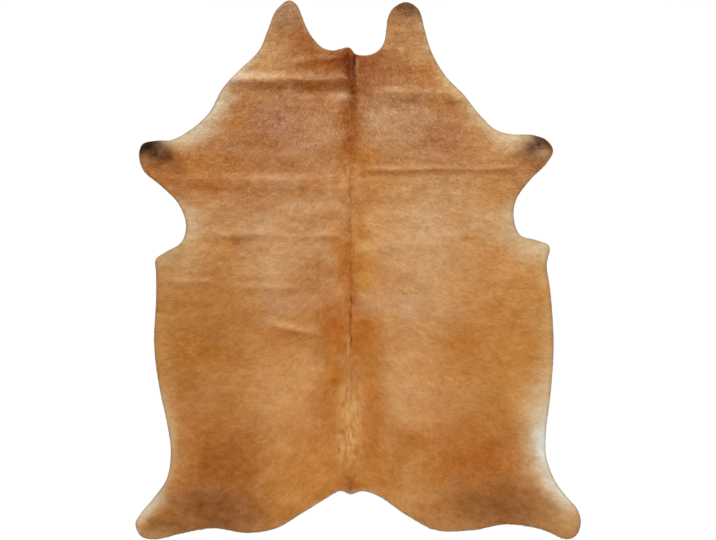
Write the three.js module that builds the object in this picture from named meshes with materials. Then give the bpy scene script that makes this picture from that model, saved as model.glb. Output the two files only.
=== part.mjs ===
// Cowhide rug: one hair-on hide lying on the floor with its hair side up. Millimetres, +Z up.
// The neck points to +Y, the hide's left side lies at -X, and the underside touches z = 0.
import * as THREE from "three";

// Driving dimensions
const HIDE_LENGTH = 2200; // ear tips to hind heels
const LEATHER = 2.2; // tanned skin
const COAT = 2.3; // short hair lying on the skin
const THICKNESS = LEATHER + COAT;
const BACKBONE_HALF_WIDTH = 46; // reach of the low ridge along the backbone
const CREST = 0.2; // how rounded the crest of a fold is, as a share of its reach
const FOLD_TAPER = 0.4; // share of half a fold's length over which each end sinks to the floor
const END_FADE = 4; // how fast the shape of the neck and rump ends dies out along the hide

// The plan below is drawn for this length and scaled to HIDE_LENGTH
const PLAN_LENGTH = 2200;
const PLAN_SCALE = HIDE_LENGTH / PLAN_LENGTH;
const BACKBONE_X = -30; // the backbone runs a little left of the middle

// Crosswise sections from the ears to the hind heels: both edges, the place on the backbone,
// and the number of cuts up to the next section
const SECTIONS = [
  { name: "ear tip", leftX: -282, leftY: 1100, spineY: 902, rightX: 195, rightY: 1093, cuts: 2 },
  { name: "ear shoulder", leftX: -335, leftY: 1058, spineY: 884, rightX: 246, rightY: 1064, cuts: 3 },
  { name: "ear side", leftX: -369, leftY: 978, spineY: 852, rightX: 272, rightY: 978, cuts: 4 },
  { name: "neck", leftX: -404, leftY: 896, spineY: 815, rightX: 300, rightY: 888, cuts: 5 },
  { name: "neck side", leftX: -482, leftY: 817, spineY: 770, rightX: 358, rightY: 790, cuts: 6 },
  { name: "neck swell", leftX: -553, leftY: 740, spineY: 713, rightX: 428, rightY: 717, cuts: 5 },
  { name: "throat", leftX: -610, leftY: 639, spineY: 628, rightX: 494, rightY: 635, cuts: 4 },
  { name: "brisket", leftX: -690, leftY: 567, spineY: 564, rightX: 562, rightY: 571, cuts: 3 },
  { name: "fore shank root", leftX: -767, leftY: 528, spineY: 528, rightX: 624, rightY: 553, cuts: 2 },
  { name: "fore shank top", leftX: -842, leftY: 525, spineY: 507, rightX: 718, rightY: 549, cuts: 2 },
  { name: "fore shank corner", leftX: -881, leftY: 512, spineY: 487, rightX: 772, rightY: 527, cuts: 2 },
  { name: "fore shank tip", leftX: -895, leftY: 471, spineY: 457, rightX: 796, rightY: 487, cuts: 4 },
  { name: "fore shank heel", leftX: -876, leftY: 405, spineY: 410, rightX: 767, rightY: 432, cuts: 4 },
  { name: "forearm", leftX: -805, leftY: 343, spineY: 351, rightX: 704, rightY: 369, cuts: 4 },
  { name: "elbow", leftX: -734, leftY: 270, spineY: 281, rightX: 646, rightY: 288, cuts: 4 },
  { name: "armpit", leftX: -703, leftY: 184, spineY: 204, rightX: 635, rightY: 216, cuts: 5 },
  { name: "armpit low", leftX: -722, leftY: 112, spineY: 135, rightX: 661, rightY: 142, cuts: 3 },
  { name: "flank corner root", leftX: -786, leftY: 72, spineY: 98, rightX: 733, rightY: 119, cuts: 2 },
  { name: "flank corner", leftX: -826, leftY: 42, spineY: 68, rightX: 780, rightY: 96, cuts: 3 },
  { name: "flank top", leftX: -825, leftY: -16, spineY: 9, rightX: 770, rightY: 20, cuts: 4 },
  { name: "belly front", leftX: -825, leftY: -122, spineY: -97, rightX: 785, rightY: -91, cuts: 8 },
  { name: "belly middle", leftX: -833, leftY: -305, spineY: -293, rightX: 798, rightY: -305, cuts: 5 },
  { name: "belly back", leftX: -813, leftY: -472, spineY: -464, rightX: 786, rightY: -501, cuts: 3 },
  { name: "flank hollow", leftX: -780, leftY: -627, spineY: -602, rightX: 766, rightY: -667, cuts: 3 },
  { name: "stifle", leftX: -765, leftY: -741, spineY: -692, rightX: 768, rightY: -765, cuts: 3 },
  { name: "thigh", leftX: -781, leftY: -852, spineY: -757, rightX: 804, rightY: -862, cuts: 2 },
  { name: "hind shank top", leftX: -834, leftY: -931, spineY: -802, rightX: 849, rightY: -924, cuts: 2 },
  { name: "hind shank", leftX: -887, leftY: -995, spineY: -839, rightX: 894, rightY: -977, cuts: 2 },
  { name: "hind tip", leftX: -909, leftY: -1038, spineY: -867, rightX: 909, rightY: -1030, cuts: 2 },
  { name: "hind heel", leftX: -884, leftY: -1089, spineY: -913, rightX: 892, rightY: -1082, cuts: 0 },
];

// Neck end between the ears, from each ear tip in to the backbone; share is the way across
const NECK_END = [
  { share: 0.1, leftX: -250, leftY: 1081, rightX: 142, rightY: 1067 },
  { share: 0.2, leftX: -229, leftY: 1034, rightX: 121, rightY: 1027 },
  { share: 0.34, leftX: -208, leftY: 983, rightX: 115, rightY: 982 },
  { share: 0.48, leftX: -176, leftY: 935, rightX: 106, rightY: 930 },
  { share: 0.62, leftX: -143, leftY: 905, rightX: 86, rightY: 898 },
  { share: 0.76, leftX: -102, leftY: 895, rightX: 54, rightY: 879 },
  { share: 0.9, leftX: -68, leftY: 902, rightX: 18, rightY: 875 },
  { share: 0.96, leftX: -45, leftY: 907, rightX: -13, rightY: 881 },
];

// Rump end between the hind heels, at the same shares, with the small nick of the tail in the middle
const RUMP_END = [
  { share: 0.1, leftX: -827, leftY: -1100, rightX: 852, rightY: -1100 },
  { share: 0.2, leftX: -738, leftY: -1080, rightX: 753, rightY: -1061 },
  { share: 0.34, leftX: -594, leftY: -1055, rightX: 610, rightY: -1039 },
  { share: 0.48, leftX: -453, leftY: -1074, rightX: 464, rightY: -1063 },
  { share: 0.62, leftX: -335, leftY: -1055, rightX: 320, rightY: -1063 },
  { share: 0.76, leftX: -229, leftY: -993, rightX: 202, rightY: -1004 },
  { share: 0.9, leftX: -136, leftY: -936, rightX: 86, rightY: -925 },
  { share: 0.96, leftX: -73, leftY: -902, rightX: 16, rightY: -903 },
];
const END_CUTS = [1, 1, 2, 2, 2, 2, 2, 1, 1]; // cuts from each share to the next

// Folds: soft ridges along a line on the floor, with their height, then their reach to the neck side
// and to the tail side of the line; the middle of the line bows to the neck side
const FOLDS = [
  { name: "left nape fold", from: [-300, 842], to: [10, 868], rise: 1.8, reach: [30, 28], bow: 0 },
  { name: "left neck fold", from: [-620, 776], to: [60, 776], rise: 7.5, reach: [46, 66], bow: -4 },
  { name: "right neck fold", from: [40, 718], to: [520, 704], rise: 5, reach: [40, 80], bow: 6 },
  { name: "right ear fold", from: [90, 972], to: [300, 978], rise: 1.6, reach: [26, 36], bow: 0 },
  { name: "right arm crease", from: [-50, 408], to: [730, 415], rise: 2.6, reach: [28, 30], bow: -2 },
  { name: "left arm crease", from: [-860, 362], to: [-80, 366], rise: 2.2, reach: [36, 60], bow: 4 },
  { name: "left rib crease", from: [-660, 146], to: [-40, 138], rise: 1.9, reach: [30, 40], bow: -3 },
  { name: "right rib crease", from: [-10, 100], to: [460, 98], rise: 1.1, reach: [30, 60], bow: 6 },
  { name: "left belly crease", from: [-850, -44], to: [-570, -48], rise: 1.8, reach: [26, 44], bow: 0 },
  { name: "left side crease", from: [-590, -68], to: [-210, -76], rise: 1.4, reach: [26, 44], bow: 0 },
  { name: "left back crease", from: [-385, -220], to: [-120, -275], rise: 2.2, reach: [36, 36], bow: 0 },
  { name: "right loin crease", from: [80, -370], to: [380, -376], rise: 0.8, reach: [30, 50], bow: 6 },
  { name: "left rib line", from: [-166, 110], to: [-160, -330], rise: 1.2, reach: [40, 40], bow: 8 },
];

// Low ridge along the backbone, from the nape to the tail
const BACKBONE = [
  { y: 920, rise: 10 },
  { y: 760, rise: 8 },
  { y: 560, rise: 5 },
  { y: 200, rise: 3.5 },
  { y: -300, rise: 4 },
  { y: -700, rise: 5 },
  { y: -920, rise: 3 },
];

const plan = (x, y) => new THREE.Vector3(x * PLAN_SCALE, y * PLAN_SCALE, 0);
const smooth = (t) => t * t * (3 - 2 * t);
const swell = (t) => (Math.abs(t) < 1 ? Math.cos((t * Math.PI) / 2) ** 2 : 0);

// Height of one fold above the floor: steepest next to its rounded crest, level where its reach ends,
// and sinking at both ends of its line
function foldLift(fold, x, y) {
  const start = plan(...fold.from);
  const run = plan(...fold.to).sub(start);
  const length = run.length();
  const along = ((x - start.x) * run.x + (y - start.y) * run.y) / (length * length);
  if (along <= 0 || along >= 1) return 0;
  const bow = fold.bow * PLAN_SCALE * 4 * along * (1 - along);
  const across = ((y - start.y) * run.x - (x - start.x) * run.y) / length - bow;
  const reach = fold.reach[across > 0 ? 0 : 1];
  const ridge = Math.max(0, 1 - Math.hypot(across / reach, CREST)) / (1 - CREST);
  const end = Math.min(1, (1 - Math.abs(2 * along - 1)) / FOLD_TAPER);
  return fold.rise * ridge ** 2 * smooth(end);
}

// Height of the backbone ridge, straight between the rows of its table
function backboneLift(x, y) {
  const rows = BACKBONE.map((row) => ({ y: row.y * PLAN_SCALE, rise: row.rise }));
  const below = Math.max(1, rows.findIndex((row) => row.y < y));
  const upper = rows[below - 1];
  const lower = rows[below];
  const share = THREE.MathUtils.clamp((upper.y - y) / (upper.y - lower.y), 0, 1);
  const rise = THREE.MathUtils.lerp(upper.rise, lower.rise, share);
  return rise * swell((x - BACKBONE_X * PLAN_SCALE) / BACKBONE_HALF_WIDTH);
}

// Where folds cross, the higher one carries the other
function lift(x, y) {
  const folds = FOLDS.map((fold) => foldLift(fold, x, y));
  return Math.max(backboneLift(x, y), ...folds);
}

// The trimmed edge: one smooth closed line, down the left side, across the rump, up the right side
// and back across the neck end
const LAST = SECTIONS.length - 1;
const ENDS = NECK_END.length + 1;
const NAPE = plan(BACKBONE_X, SECTIONS[0].spineY);
const TAIL = plan(BACKBONE_X, SECTIONS[LAST].spineY);
const leftOf = (row) => plan(row.leftX, row.leftY);
const rightOf = (row) => plan(row.rightX, row.rightY);
const EDGE = [
  ...SECTIONS.map(leftOf),
  ...RUMP_END.map(leftOf),
  TAIL,
  ...RUMP_END.map(rightOf).reverse(),
  ...SECTIONS.map(rightOf).reverse(),
  ...NECK_END.map(rightOf),
  NAPE,
  ...NECK_END.map(leftOf).reverse(),
];
const edgeLine = new THREE.CatmullRomCurve3(EDGE, true, "centripetal");
const edgeAt = (place) => edgeLine.getPoint((place / EDGE.length) % 1);

// Places on the edge line, counted in table rows, for a section or for a share of an end
const RIGHT_EAR = 2 * LAST + 2 * ENDS;
const HALVES = {
  left: {
    side: (section) => edgeAt(section),
    neck: (end) => edgeAt(EDGE.length - end),
    rump: (end) => edgeAt(LAST + end),
  },
  right: {
    side: (section) => edgeAt(RIGHT_EAR - section),
    neck: (end) => edgeAt(RIGHT_EAR + end),
    rump: (end) => edgeAt(LAST + 2 * ENDS - end),
  },
};

// Backbone line through the sections
const backbone = new THREE.CatmullRomCurve3(
  SECTIONS.map((row) => plan(BACKBONE_X, row.spineY)),
  false,
  "centripetal",
);

// Table places with each step cut into equal parts
function stations(cuts) {
  const places = cuts.flatMap((count, row) => Array.from({ length: count }, (_, k) => row + k / count));
  return [...places, cuts.length];
}
const SECTION_PLACES = stations(SECTIONS.slice(0, LAST).map((row) => row.cuts));
const END_PLACES = stations(END_CUTS);
const SHARES = [0, ...NECK_END.map((row) => row.share), 1];

function shareAt(place) {
  const row = Math.min(Math.floor(place), ENDS - 1);
  return THREE.MathUtils.lerp(SHARES[row], SHARES[row + 1], place - row);
}

// A point of one half: a straight line from the edge to the backbone, bent near the neck and the
// rump so that the first and last lines follow the trimmed ends
function halfPoint(half, section, end) {
  const share = shareAt(end);
  const spine = backbone.getPoint(section / LAST);
  const way = (NAPE.y - spine.y) / (NAPE.y - TAIL.y);
  const point = half.side(section).lerp(spine, share);
  const neckBend = half.neck(end).sub(half.side(0).lerp(NAPE, share));
  const rumpBend = half.rump(end).sub(half.side(LAST).lerp(TAIL, share));
  point.addScaledVector(neckBend, (1 - way) ** END_FADE);
  point.addScaledVector(rumpBend, way ** END_FADE);
  return point;
}

// One row of the sheet from the left edge over the backbone to the right edge
function sectionRow(section) {
  const left = END_PLACES.map((end) => halfPoint(HALVES.left, section, end));
  const right = END_PLACES.slice(0, -1).map((end) => halfPoint(HALVES.right, section, end));
  return [...left, ...right.reverse()];
}

// Closed sheet: hair side, flesh side one thickness below it, and the cut edge between them
function hideGeometry() {
  const rows = SECTION_PLACES.map(sectionRow);
  const rowCount = rows.length;
  const columnCount = rows[0].length;
  const flesh = rows.flat().map((p) => new THREE.Vector3(p.x, p.y, lift(p.x, p.y)));
  const hair = flesh.map((p) => new THREE.Vector3(p.x, p.y, p.z + THICKNESS));
  const count = flesh.length;
  const at = (row, column) => row * columnCount + column;
  const faces = [];
  const quad = (a, b, c, d) => faces.push(a, b, c, a, c, d);
  for (let i = 0; i < rowCount - 1; i += 1) {
    for (let j = 0; j < columnCount - 1; j += 1) {
      const corners = [at(i, j), at(i + 1, j), at(i + 1, j + 1), at(i, j + 1)];
      quad(...corners.map((corner) => corner + count));
      quad(...corners.reverse());
    }
  }
  const border = [
    ...Array.from({ length: rowCount - 1 }, (_, i) => at(i, 0)),
    ...Array.from({ length: columnCount - 1 }, (_, j) => at(rowCount - 1, j)),
    ...Array.from({ length: rowCount - 1 }, (_, i) => at(rowCount - 1 - i, columnCount - 1)),
    ...Array.from({ length: columnCount - 1 }, (_, j) => at(0, columnCount - 1 - j)),
  ];
  border.forEach((corner, k) => {
    const next = border[(k + 1) % border.length];
    quad(corner, next, next + count, corner + count);
  });
  const geometry = new THREE.BufferGeometry().setFromPoints([...flesh, ...hair]);
  geometry.setIndex(faces);
  geometry.computeVertexNormals();
  // Middle of the plan over the origin
  geometry.computeBoundingBox();
  const middle = geometry.boundingBox.getCenter(new THREE.Vector3());
  geometry.translate(-middle.x, -middle.y, 0);
  return geometry;
}

const coat = new THREE.MeshStandardMaterial({ name: "caramel cow hair", color: 0xb77f4d, roughness: 0.8 });
const hide = new THREE.Mesh(hideGeometry(), coat);
hide.name = "hide";

const rug = new THREE.Group();
rug.name = "cowhide_rug";
rug.add(hide);
export default rug;
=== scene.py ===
# %% [markdown]
# # Cowhide rug
# A whole cow's hide, tanned with its hair on, lies flat on the floor with the hair side up. This lesson
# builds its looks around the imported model: the skin as one thin closed sheet, the short coat as many
# small locks of hair lying on it, and a studio that looks straight down. Every length is in
# millimetres until it goes into a mesh, where it becomes metres.

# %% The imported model
import math

import bpy
import numpy as np
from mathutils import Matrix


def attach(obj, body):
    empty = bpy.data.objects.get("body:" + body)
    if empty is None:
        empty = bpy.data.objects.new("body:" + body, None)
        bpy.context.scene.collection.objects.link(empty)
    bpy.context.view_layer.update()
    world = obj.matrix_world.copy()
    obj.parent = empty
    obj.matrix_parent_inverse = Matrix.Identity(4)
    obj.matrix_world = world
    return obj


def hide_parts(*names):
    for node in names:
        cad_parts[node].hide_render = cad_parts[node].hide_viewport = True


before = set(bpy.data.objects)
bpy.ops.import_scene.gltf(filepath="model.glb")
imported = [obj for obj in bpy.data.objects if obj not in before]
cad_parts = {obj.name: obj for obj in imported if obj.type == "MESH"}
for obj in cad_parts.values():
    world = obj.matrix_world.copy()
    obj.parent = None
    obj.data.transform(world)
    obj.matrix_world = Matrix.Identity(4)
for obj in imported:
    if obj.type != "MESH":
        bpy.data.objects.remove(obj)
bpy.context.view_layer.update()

MM = 0.001  # a millimetre in metres

# %% [markdown]
# ## Small helpers
# Colours are written as sRGB hex values, as a colour picker shows them, and one function turns them into
# the linear numbers that Blender mixes. Uneven things, such as mottled hair, come from value noise: random
# heights on a lattice that are blended by smooth steps. It is seeded, so each run gives the same hide.

# %% Colour and noise
TAN = "#B9804C"  # the coat's base colour
LATTICE = 256  # heights along each side of the noise's lattice, after which it repeats


def srgb(hex_colour):
    """Three sRGB numbers from 0 to 1 out of a hex value such as #B9804C."""
    return np.array([int(hex_colour[k:k + 2], 16) for k in (1, 3, 5)]) / 255.0


def linear(colour):
    """Linear light of sRGB numbers or of a hex value, by the standard curve."""
    s = srgb(colour) if isinstance(colour, str) else np.asarray(colour)
    return np.where(s <= 0.04045, s / 12.92, ((np.maximum(s, 0.0) + 0.055) / 1.055) ** 2.4)


def smooth(t):
    """The soft step 3t^2 - 2t^3, held at 0 below 0 and at 1 above 1."""
    t = np.clip(t, 0.0, 1.0)
    return t * t * (3.0 - 2.0 * t)


def turned(x, y, turn):
    """The same points on axes turned by some degrees."""
    c, s = math.cos(math.radians(turn)), math.sin(math.radians(turn))
    return x * c + y * s, y * c - x * s


def mottle(x, y, wide, tall, seed, turn=0.0):
    """Value noise from -1 to 1 with blotches about wide by tall mm, turned by some degrees."""
    heights = np.random.default_rng(seed).uniform(-1.0, 1.0, (LATTICE, LATTICE))
    u, v = turned(x, y, turn)
    u, v = u / wide + LATTICE / 2, v / tall + LATTICE / 2
    i, j = np.floor(u).astype(int), np.floor(v).astype(int)
    fu, fv = smooth(u - i), smooth(v - j)
    at = lambda di, dj: heights[(i + di) % LATTICE, (j + dj) % LATTICE]
    near = at(0, 0) * (1.0 - fu) + at(1, 0) * fu
    far = at(0, 1) * (1.0 - fu) + at(1, 1) * fu
    return near * (1.0 - fv) + far * fv


print("base tan in linear light:", linear(TAN).round(3).tolist())

# %% [markdown]
# ## The outline of the hide
# A hide has no straight line in it. A tanner trims the neck, the shanks and the belly, so the outline is
# best given as sections from the ears to the hind heels, with both edges and the place on the backbone.
# One closed smooth curve runs through all of them. A traced picture would also give an outline, but a
# table of sections can be read, changed and scaled.

# %% Sections and trimmed ends
BACKBONE_X = -30.0  # the backbone runs a little left of the middle
END_FADE = 4  # how fast the shape of the neck and rump ends dies out along the hide

# left edge x, y, backbone y, right edge x, y, cuts up to the next section
SECTIONS = {
    "ear tip": (-282, 1100, 902, 195, 1093, 2),
    "ear shoulder": (-335, 1058, 884, 246, 1064, 3),
    "ear side": (-369, 978, 852, 272, 978, 4),
    "neck": (-404, 896, 815, 300, 888, 5),
    "neck side": (-482, 817, 770, 358, 790, 6),
    "neck swell": (-553, 740, 713, 428, 717, 5),
    "throat": (-610, 639, 628, 494, 635, 4),
    "brisket": (-690, 567, 564, 562, 571, 3),
    "fore shank root": (-767, 528, 528, 624, 553, 2),
    "fore shank top": (-842, 525, 507, 718, 549, 2),
    "fore shank corner": (-881, 512, 487, 772, 527, 2),
    "fore shank tip": (-895, 471, 457, 796, 487, 4),
    "fore shank heel": (-876, 405, 410, 767, 432, 4),
    "forearm": (-805, 343, 351, 704, 369, 4),
    "elbow": (-734, 270, 281, 646, 288, 4),
    "armpit": (-703, 184, 204, 635, 216, 5),
    "armpit low": (-722, 112, 135, 661, 142, 3),
    "flank corner root": (-786, 72, 98, 733, 119, 2),
    "flank corner": (-826, 42, 68, 780, 96, 3),
    "flank top": (-825, -16, 9, 770, 20, 4),
    "belly front": (-825, -122, -97, 785, -91, 8),
    "belly middle": (-833, -305, -293, 798, -305, 5),
    "belly back": (-813, -472, -464, 786, -501, 3),
    "flank hollow": (-780, -627, -602, 766, -667, 3),
    "stifle": (-765, -741, -692, 768, -765, 3),
    "thigh": (-781, -852, -757, 804, -862, 2),
    "hind shank top": (-834, -931, -802, 849, -924, 2),
    "hind shank": (-887, -995, -839, 894, -977, 2),
    "hind tip": (-909, -1038, -867, 909, -1030, 2),
    "hind heel": (-884, -1089, -913, 892, -1082, 0),
}
# share of the way from the side to the backbone, left edge x, y, right edge x, y
NECK_END = [
    (0.10, -250, 1081, 142, 1067),
    (0.20, -229, 1034, 121, 1027),
    (0.34, -208, 983, 115, 982),
    (0.48, -176, 935, 106, 930),
    (0.62, -143, 905, 86, 898),
    (0.76, -102, 895, 54, 879),
    (0.90, -68, 902, 18, 875),
    (0.96, -45, 907, -13, 881),
]
RUMP_END = [
    (0.10, -827, -1100, 852, -1100),
    (0.20, -738, -1080, 753, -1061),
    (0.34, -594, -1055, 610, -1039),
    (0.48, -453, -1074, 464, -1063),
    (0.62, -335, -1055, 320, -1063),
    (0.76, -229, -993, 202, -1004),
    (0.90, -136, -936, 86, -925),
    (0.96, -73, -902, 16, -903),
]
END_CUTS = [1, 1, 2, 2, 2, 2, 2, 1, 1]  # cuts up to the next row, from the side to the backbone

sections = np.array(list(SECTIONS.values()), dtype=float)
neck, rump = np.array(NECK_END), np.array(RUMP_END)
LAST, ENDS = len(sections) - 1, len(neck) + 1
NAPE, TAIL = np.array([BACKBONE_X, sections[0, 2]]), np.array([BACKBONE_X, sections[-1, 2]])
EDGE = np.vstack([
    sections[:, 0:2], rump[:, 1:3], TAIL, rump[::-1, 3:5],
    sections[::-1, 3:5], neck[:, 3:5], NAPE, neck[::-1, 1:3],
])
print(len(EDGE), "rows on the trimmed edge")

# %% A smooth line through table rows


def line_through(rows, at, closed):
    """Centripetal Catmull-Rom line: between two rows it is the cubic whose slopes come from the rows
    around them, spaced by the square root of their distance. at counts rows, so 3.5 lies after row 3."""
    if closed:
        first = np.floor(at).astype(int)
        p0, p1, p2, p3 = (rows[(first + k) % len(rows)] for k in (-1, 0, 1, 2))
    else:
        rows = np.vstack([2 * rows[0] - rows[1], rows, 2 * rows[-1] - rows[-2]])
        first = np.clip(np.floor(at).astype(int), 0, len(rows) - 4)
        p0, p1, p2, p3 = (rows[first + k] for k in (0, 1, 2, 3))
    t = (at - first)[:, None]
    d0, d1, d2 = (np.linalg.norm(b - a, axis=1)[:, None] ** 0.5 for a, b in ((p0, p1), (p1, p2), (p2, p3)))
    slope1 = ((p1 - p0) / d0 - (p2 - p0) / (d0 + d1) + (p2 - p1) / d1) * d1
    slope2 = ((p2 - p1) / d1 - (p3 - p1) / (d1 + d2) + (p3 - p2) / d2) * d1
    bend2 = 3 * (p2 - p1) - 2 * slope1 - slope2
    bend3 = 2 * (p1 - p2) + slope1 + slope2
    return p1 + t * slope1 + t**2 * bend2 + t**3 * bend3


OUTLINE_STEP = 0.05  # share of the way from one row to the next
OUTLINE = line_through(EDGE, np.arange(0, len(EDGE), OUTLINE_STEP), True)
MIDDLE = (OUTLINE.min(0) + OUTLINE.max(0)) / 2
print("outline in mm:", np.ptp(OUTLINE, axis=0).round(1).tolist(), "middle", MIDDLE.round(2).tolist())

# %% Room to the trimmed edge
ROOM_STEP = 10.0  # lattice on which the distance to the edge is worked out
ROOM_MARGIN = 30.0  # how far it reaches past the outline


def leftward(ways):
    """Vectors on the plan turned by a quarter to the left: (x, y) becomes (-y, x)."""
    return np.column_stack([-ways[:, 1], ways[:, 0]])


def inward_of(line):
    """Unit vectors to the inner side of a closed line: a quarter turn to the left of the way from the point
    before to the point after, because the edge runs anticlockwise."""
    way = np.roll(line, -1, axis=0) - np.roll(line, 1, axis=0)
    return leftward(way) / np.linalg.norm(way, axis=1)[:, None]


def edge_room():
    """Signed distance to the outline on a lattice: to the nearest outline point, positive on its inner
    side, which the outline's own direction tells."""
    low, high = OUTLINE.min(0) - ROOM_MARGIN, OUTLINE.max(0) + ROOM_MARGIN
    xs, ys = np.arange(low[0], high[0], ROOM_STEP), np.arange(low[1], high[1], ROOM_STEP)
    inner = inward_of(OUTLINE)
    room = np.empty((len(xs), len(ys)))
    for k, x in enumerate(xs):
        gap = np.stack([np.full(len(ys), x), ys], axis=1)[:, None] - OUTLINE[None]
        near = (gap**2).sum(-1).argmin(1)
        offset = gap[np.arange(len(ys)), near]
        side = np.sign((offset * inner[near]).sum(1))
        room[k] = np.linalg.norm(offset, axis=1) * np.where(side == 0, 1, side)
    return low, room


ROOM_LOW, ROOM = edge_room()


def room_at(points):
    """The lattice's distance to the edge, blended between its four nearest points."""
    s = (points - ROOM_LOW) / ROOM_STEP
    i = np.clip(np.floor(s).astype(int), 0, np.array(ROOM.shape) - 2)
    f = s - i
    a, b = i[:, 0], i[:, 1]
    near = ROOM[a, b] * (1 - f[:, 0]) + ROOM[a + 1, b] * f[:, 0]
    far = ROOM[a, b + 1] * (1 - f[:, 0]) + ROOM[a + 1, b + 1] * f[:, 0]
    return near * (1 - f[:, 1]) + far * f[:, 1]


print("widest room to the edge in mm:", round(float(ROOM.max())))

# %% [markdown]
# ## Folds and unevenness
# The hide was folded for storage, so soft ridges run across it, and its backbone stands a little proud.
# Each fold is a ridge along a line that bows a little: steep next to a rounded crest, flat where its reach
# ends, and sinking to the floor at both ends of the line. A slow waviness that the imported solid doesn't
# have is added, because it shows only as shading. A cloth simulation would give folds too, but not where
# this hide has them.

# %% Folds, creases and the backbone
FOLD_TAPER = 0.4  # share of half a fold's length over which each end sinks to the floor
CREST = 0.2  # how rounded the crest of a fold is, as a share of its reach
BACKBONE_HALF_WIDTH = 46.0
# from x, y, to x, y, rise, reach to the neck side and to the tail side, bow
FOLDS = {
    "left nape fold": (-300, 842, 10, 868, 1.8, 30, 28, 0),
    "left neck fold": (-620, 776, 60, 776, 7.5, 46, 66, -4),
    "right neck fold": (40, 718, 520, 704, 5.0, 40, 80, 6),
    "right ear fold": (90, 972, 300, 978, 1.6, 26, 36, 0),
    "right arm crease": (-50, 408, 730, 415, 2.6, 28, 30, -2),
    "left arm crease": (-860, 362, -80, 366, 2.2, 36, 60, 4),
    "left rib crease": (-660, 146, -40, 138, 1.9, 30, 40, -3),
    "right rib crease": (-10, 100, 460, 98, 1.1, 30, 60, 6),
    "left belly crease": (-850, -44, -570, -48, 1.8, 26, 44, 0),
    "left side crease": (-590, -68, -210, -76, 1.4, 26, 44, 0),
    "left back crease": (-385, -220, -120, -275, 2.2, 36, 36, 0),
    "right loin crease": (80, -370, 380, -376, 0.8, 30, 50, 6),
    "left rib line": (-166, 110, -160, -330, 1.2, 40, 40, 8),
}
FOLD_WANDER = (3.5, 90.0, 200)  # how far a crest strays from its line, over what length, first seed
FOLD_UNEVEN = (0.35, 110.0, 230)  # how much its rise varies, over what length, first seed
# y, rise
BACKBONE_RISE = np.array([
    (920, 10), (760, 8), (560, 5), (200, 3.5), (-300, 4), (-700, 5), (-920, 3),
], dtype=float)
WAVES = ((0.5, 330, 190, 11, 9), (0.35, 150, 90, 12, 9))  # rise, blotch width and length, seed, turn
WAVE_START = 60.0  # how far in from the edge, which lies on the floor, the waviness is full


def ripple(along, noise, number):
    """Noise along one line, given by its strength, length and first seed: value noise on a single row."""
    strength, length, seed = noise
    return strength * mottle(along, 0 * along, length, 1.0, seed + number)


def fold_lift(fold, number, x, y):
    """Ridge height: the fold's rise times a squared slope, steepest next to a rounded crest and flat where
    its reach ends, times a soft step at both ends of its line. The crest strays and its rise varies."""
    x0, y0, x1, y1, rise, neck_reach, tail_reach, bow = fold
    run = np.array([x1 - x0, y1 - y0], dtype=float)
    length = np.hypot(*run)
    along = ((x - x0) * run[0] + (y - y0) * run[1]) / length**2
    across = ((y - y0) * run[0] - (x - x0) * run[1]) / length - bow * 4 * along * (1 - along)
    widest = max(neck_reach, tail_reach) + FOLD_WANDER[0]
    near = (np.abs(2 * along - 1) < 1) & (np.abs(across) < widest)
    along, across = along[near], across[near]
    down = along * length
    across = across - ripple(down, FOLD_WANDER, number)
    rise = rise * (1 + ripple(down, FOLD_UNEVEN, number))
    off = np.hypot(across / np.where(across > 0, neck_reach, tail_reach), CREST)
    ridge = (np.clip(1 - off, 0, 1) / (1 - CREST)) ** 2
    height = np.zeros(near.shape)
    height[near] = rise * ridge * smooth((1 - np.abs(2 * along - 1)) / FOLD_TAPER)
    return height


def lift(x, y):
    """Height of the flesh side over the floor: the highest of the folds and the backbone ridge, and the
    slow waviness of a skin that never lies quite flat."""
    rise = np.interp(-y, -BACKBONE_RISE[:, 0], BACKBONE_RISE[:, 1])
    reach = np.clip((x - BACKBONE_X) / BACKBONE_HALF_WIDTH, -1, 1)
    height = rise * np.cos(reach * math.pi / 2) ** 2
    for number, fold in enumerate(FOLDS.values()):
        height = np.maximum(height, fold_lift(fold, number, x, y))
    inside = smooth(room_at(np.column_stack([x, y])) / WAVE_START)
    for amount, *noise in WAVES:
        height = height + inside * amount * (1 + mottle(x, y, *noise))
    return height


print("highest fold in mm:", round(float(lift(*EDGE.T).max()), 1), "at the edge")

# %% [markdown]
# ## The skin as one closed sheet
# Between the backbone and each edge the skin is a ruled patch, bent near the neck and the rump so that its
# first and last lines follow the trimmed ends. A grid of points on the two patches gives the hair side, the
# same grid lower down gives the flesh side, and a bevelled strip between them is the cut edge, which shows
# from above as a thin line around the coat.

# %% Points of the two halves
ROW_STEPS, COLUMN_STEPS = 4, 4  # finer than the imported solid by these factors


def places(cuts, steps):
    """Places along a table with the step after each row cut into equal parts."""
    counts = [int(c) * steps for c in cuts]
    parts = [row + np.arange(n) / n for row, n in enumerate(counts)]
    return np.concatenate(parts + [[len(cuts)]])


def half_points(side, neck_edge, rump_edge, spine, share):
    """Points of one half: side + share of the way to the backbone, plus what the neck end and the rump end
    differ from a straight line there, each fading with the fourth power of the distance from it."""
    way = ((NAPE[1] - spine[:, 1]) / (NAPE[1] - TAIL[1]))[:, None, None]
    s = share[None, :, None]
    flat = side[:, None] * (1 - s) + spine[:, None] * s
    neck_bend = neck_edge[None] - (side[0] * (1 - s) + NAPE * s)
    rump_bend = rump_edge[None] - (side[-1] * (1 - s) + TAIL * s)
    return flat + neck_bend * (1 - way) ** END_FADE + rump_bend * way**END_FADE


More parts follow.
